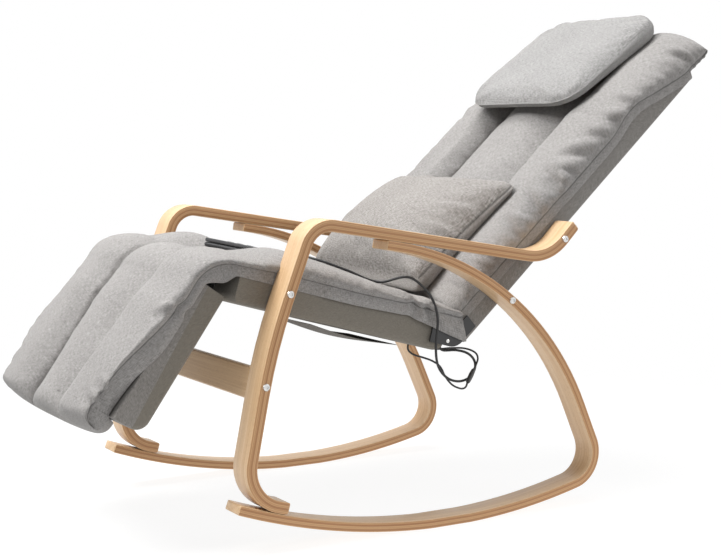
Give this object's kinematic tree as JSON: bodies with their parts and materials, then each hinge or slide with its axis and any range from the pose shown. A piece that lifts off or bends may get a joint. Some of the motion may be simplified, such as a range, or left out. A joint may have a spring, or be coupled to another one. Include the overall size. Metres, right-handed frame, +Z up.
{
  "type": "massage rocking chair",
  "caption": "Bentwood rocking recliner with quilted seat and back pads, hinged legrest, headrest and lumbar pillows, hand controller and massage rollers that travel inside the back.",
  "frame": {"origin": "on the floor, midway between the runners, under the middle of the chair's length, at the line where the runners touch", "axes": "+X towards the top of the back, -X where the sitter's feet point, +Y the sitter's right side, +Z up"},
  "size_m": [1.4029, 0.6628, 1.0167],
  "materials": {
    "bent_ply": "clear satin lacquer over pale beech veneer",
    "inner_timber": "sawn, unfinished",
    "linen_fabric": "light grey heathered linen weave",
    "cover_fabric": "darker grey close weave stretched over board",
    "pocket_fabric": "black dust cloth",
    "bright_steel": "zinc plated",
    "black_steel": "black powder coat",
    "motor_can": "plain drawn can",
    "black_rubber": "matt",
    "black_plastic": "fine texture"
  },
  "bodies": {
    "chair_frame": {"back_cover": "cover_fabric", "back_link_lead": "black_rubber", "back_pad": "linen_fabric", "back_rail_left": "inner_timber", "back_rail_lower": "inner_timber", "back_rail_right": "inner_timber", "back_rail_upper": "inner_timber", "carriage_guide_left": "bright_steel", "carriage_guide_right": "bright_steel", "control_box": "black_plastic", "controller_cord": "black_rubber", "controller_cord_gland": "black_plastic", "controller_lower_shell": "black_plastic", "controller_upper_shell": "black_plastic", "drive_motor": "motor_can", "front_stretcher": "bent_ply", "hinge_seat_leaf_left": "bright_steel", "hinge_seat_leaf_right": "bright_steel", "knee_pad": "linen_fabric", "lead_connector": "black_rubber", "left_arm_end_bolt": "bright_steel", "left_arm_leg": "bent_ply", "left_hip_bracket": "black_steel", "left_rear_leg_bolt": "bright_steel", "left_rocker": "bent_ply", "left_seat_bolt": "bright_steel", "left_stretcher_bolt": "bright_steel", "power_socket": "black_plastic", "right_arm_end_bolt": "bright_steel", "right_arm_leg": "bent_ply", "right_hip_bracket": "black_steel", "right_rear_leg_bolt": "bright_steel", "right_rocker": "bent_ply", "right_seat_bolt": "bright_steel", "right_stretcher_bolt": "bright_steel", "seat_board": "inner_timber", "seat_cover": "cover_fabric", "seat_link_lead": "black_rubber", "seat_pad": "linen_fabric", "seat_rail_front": "inner_timber", "seat_rail_left": "inner_timber", "seat_rail_rear": "inner_timber", "seat_rail_right": "inner_timber", "seat_vibration_motor": "black_plastic", "under_seat_pocket": "pocket_fabric"},
    "legrest": {"legrest_cover": "cover_fabric", "legrest_board": "inner_timber", "legrest_pad": "linen_fabric", "hinge_legrest_leaf_left": "bright_steel", "hinge_legrest_leaf_right": "bright_steel"},
    "headrest": {"headrest_pillow": "linen_fabric"},
    "lumbar": {"lumbar_pillow": "linen_fabric"},
    "carriage": {"massage_carriage": "black_plastic", "kneading_motor": "motor_can"},
    "left_kneader": {"kneading_head_left": "black_plastic"},
    "right_kneader": {"kneading_head_right": "black_plastic"},
    "screw": {"lead_screw": "bright_steel"},
    "power_key": {"power_button": "black_plastic"},
    "mode_key": {"mode_button": "black_plastic"},
    "speed_key": {"speed_button": "black_plastic"}
  },
  "joints": [
    {"name": "legrest_tilt", "type": "hinge", "parent": "chair_frame", "child": "legrest", "pos_m": [-0.43794, 0, 0.45809], "axis": [0, 1, 0], "range_deg": [-33, 55], "deforming": ["knee_pad"]},
    {"name": "headrest_slide", "type": "slide", "parent": "chair_frame", "child": "headrest", "axis": [0.8387, 0, 0.5446], "range_m": [-0.08, 0.03]},
    {"name": "lumbar_slide", "type": "slide", "parent": "chair_frame", "child": "lumbar", "axis": [0.743, 0, 0.6693], "range_m": [0, 0.12]},
    {"name": "carriage_travel", "type": "slide", "parent": "chair_frame", "child": "carriage", "axis": [0.743, 0, 0.6693], "range_m": [-0.26, 0.24]},
    {"name": "lead_screw_turn", "type": "hinge", "parent": "chair_frame", "child": "screw", "pos_m": [0.12069, 0, 0.40934], "axis": [0.743, 0, 0.6693], "range_deg": [-7900, 7400]},
    {"name": "left_kneading_turn", "type": "hinge", "parent": "carriage", "child": "left_kneader", "pos_m": [0.35093, -0.052, 0.63126], "axis": [-0.6693, 0, 0.743], "continuous": true},
    {"name": "right_kneading_turn", "type": "hinge", "parent": "carriage", "child": "right_kneader", "pos_m": [0.35093, 0.052, 0.63126], "axis": [-0.6693, 0, 0.743], "continuous": true},
    {"name": "power_press", "type": "slide", "parent": "chair_frame", "child": "power_key", "axis": [-0.2672, 0, -0.9636], "range_m": [0, 0.0012], "stiffness_N_per_m": 800, "springref_m": -0.0006},
    {"name": "mode_press", "type": "slide", "parent": "chair_frame", "child": "mode_key", "axis": [-0.2672, 0, -0.9636], "range_m": [0, 0.0012], "stiffness_N_per_m": 800, "springref_m": -0.0006},
    {"name": "speed_press", "type": "slide", "parent": "chair_frame", "child": "speed_key", "axis": [-0.2672, 0, -0.9636], "range_m": [0, 0.0012], "stiffness_N_per_m": 800, "springref_m": -0.0006}
  ],
  "couplings": [
    {"joint": "lead_screw_turn", "follows": "carriage_travel", "rad_per_m": 523.6},
    {"joint": "right_kneading_turn", "follows": "left_kneading_turn", "ratio": -1}
  ]
}
